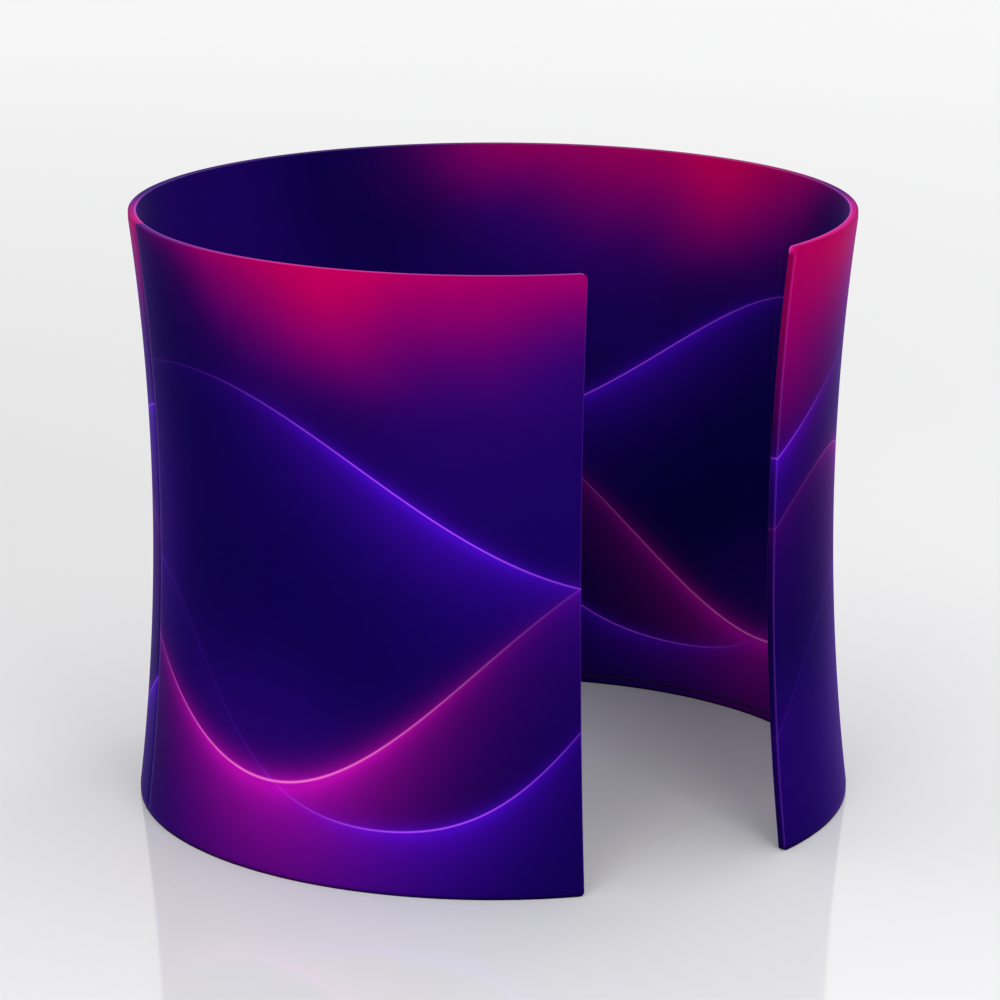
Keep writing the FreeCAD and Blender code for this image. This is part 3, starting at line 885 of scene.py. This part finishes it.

# pale studio floor; far off it shows as a plain glowing tone of painted light, paler farther out and to one
# side
studio = {
    "radius": 120,
    "sides": 96,
    "colour": (0.79, 0.79, 0.80, 1),
    "paleNear": 2.6,         # from here to paleFar the floor gives way to plain tone
    "paleFar": 8.0,
    "nearTone": (0.815, 0.815, 0.82, 1),
    "farTone": (0.93, 0.93, 0.935, 1),
    "toneNear": 5.0,
    "toneFar": 22.0,
    "paler": (0.839, -0.545, 0),     # the way to the side with more painted light
    "palerShare": (0.13, 0.03),      # how much more painted light there, near and far
    "skyColour": (1, 1, 1, 1),
    "skyStrength": 0.85,
    "aim": (0, 0, 1.2),      # where the lamps point
}


def makeFloor():
    material, tree, shader = newMaterial("studio floor", Base_Color=studio["colour"], Roughness=0.07,
                                         Specular_IOR_Level=0.5)
    place = addNode(tree, "ShaderNodeTexCoord").outputs["Object"]
    away = addNode(tree, "ShaderNodeVectorMath", {0: place}, operation="LENGTH").outputs["Value"]
    heading = addNode(tree, "ShaderNodeVectorMath", {0: place}, operation="NORMALIZE").outputs[0]
    inputs = {0: heading, 1: studio["paler"]}
    across = addNode(tree, "ShaderNodeVectorMath", inputs, operation="DOT_PRODUCT").outputs["Value"]
    farther = ramp(tree, away, studio["toneNear"], studio["toneFar"], kind="LINEAR")
    tone = blendColour(tree, farther, studio["nearTone"], studio["farTone"])
    uneven = ramp(tree, away, studio["toneNear"], studio["toneFar"], *studio["palerShare"], kind="LINEAR")
    # painted light: the plain tone is paler to one side
    lift = calc(tree, "MULTIPLY_ADD", across, uneven, 1.0)
    plain = addNode(tree, "ShaderNodeEmission", {"Color": tone, "Strength": lift})
    rays = addNode(tree, "ShaderNodeLightPath").outputs
    seen = rays["Is Camera Ray"]
    for ray in ("Is Glossy Ray", "Is Transmission Ray"):
        seen = calc(tree, "MAXIMUM", rays[ray], seen)
    share = calc(tree, "MULTIPLY", seen, ramp(tree, away, studio["paleNear"], studio["paleFar"]))
    mix = addNode(tree, "ShaderNodeMixShader", {0: share, 1: shader.outputs[0], 2: plain.outputs[0]})
    tree.links.new(mix.outputs[0], tree.nodes["Material Output"].inputs["Surface"])
    return material


bm = bmesh.new()
bmesh.ops.create_circle(bm, cap_ends=True, segments=studio["sides"], radius=studio["radius"])
floor = newPiece("studio_floor", bm, makeFloor())

world = bpy.data.worlds.new("studio")
scene.world = world
world.use_nodes = True
sky = world.node_tree.nodes["Background"].inputs
sky["Color"].default_value = studio["skyColour"]
sky["Strength"].default_value = studio["skyStrength"]

lamps = [
    {"name": "key light", "place": (-2.2, -12.0, 8.0), "size": 5.0, "watts": 480},
    {"name": "fill light", "place": (-9.0, -7.0, 7.5), "size": 5.0, "watts": 330},
    {"name": "rim light", "place": (8.0, 3.0, 6.0), "size": 4.0, "watts": 170},
]
for settings in lamps:
    light = bpy.data.lights.new(settings["name"], "AREA")
    light.size = settings["size"]
    light.energy = settings["watts"]
    lamp = bpy.data.objects.new(settings["name"], light)
    lamp.location = settings["place"]
    lamp.rotation_euler = (Vector(studio["aim"]) - lamp.location).to_track_quat("-Z", "Y").to_euler()
    scene.collection.objects.link(lamp)

view = {
    "lens": 149.95,
    "sensor": 36,
    "clipEnd": 400,
    "place": (-8.996, -13.892, 5.524),
    "turned": (75.378, 0, -33.022),  # degrees
}
camera = bpy.data.objects.new("camera", bpy.data.cameras.new("camera"))
camera.data.lens = view["lens"]
camera.data.sensor_width = view["sensor"]
camera.data.clip_end = view["clipEnd"]
camera.location = view["place"]
camera.rotation_euler = [math.radians(degrees) for degrees in view["turned"]]
scene.collection.objects.link(camera)
scene.camera = camera
scene.view_settings.view_transform = "Standard"
print("stage made")
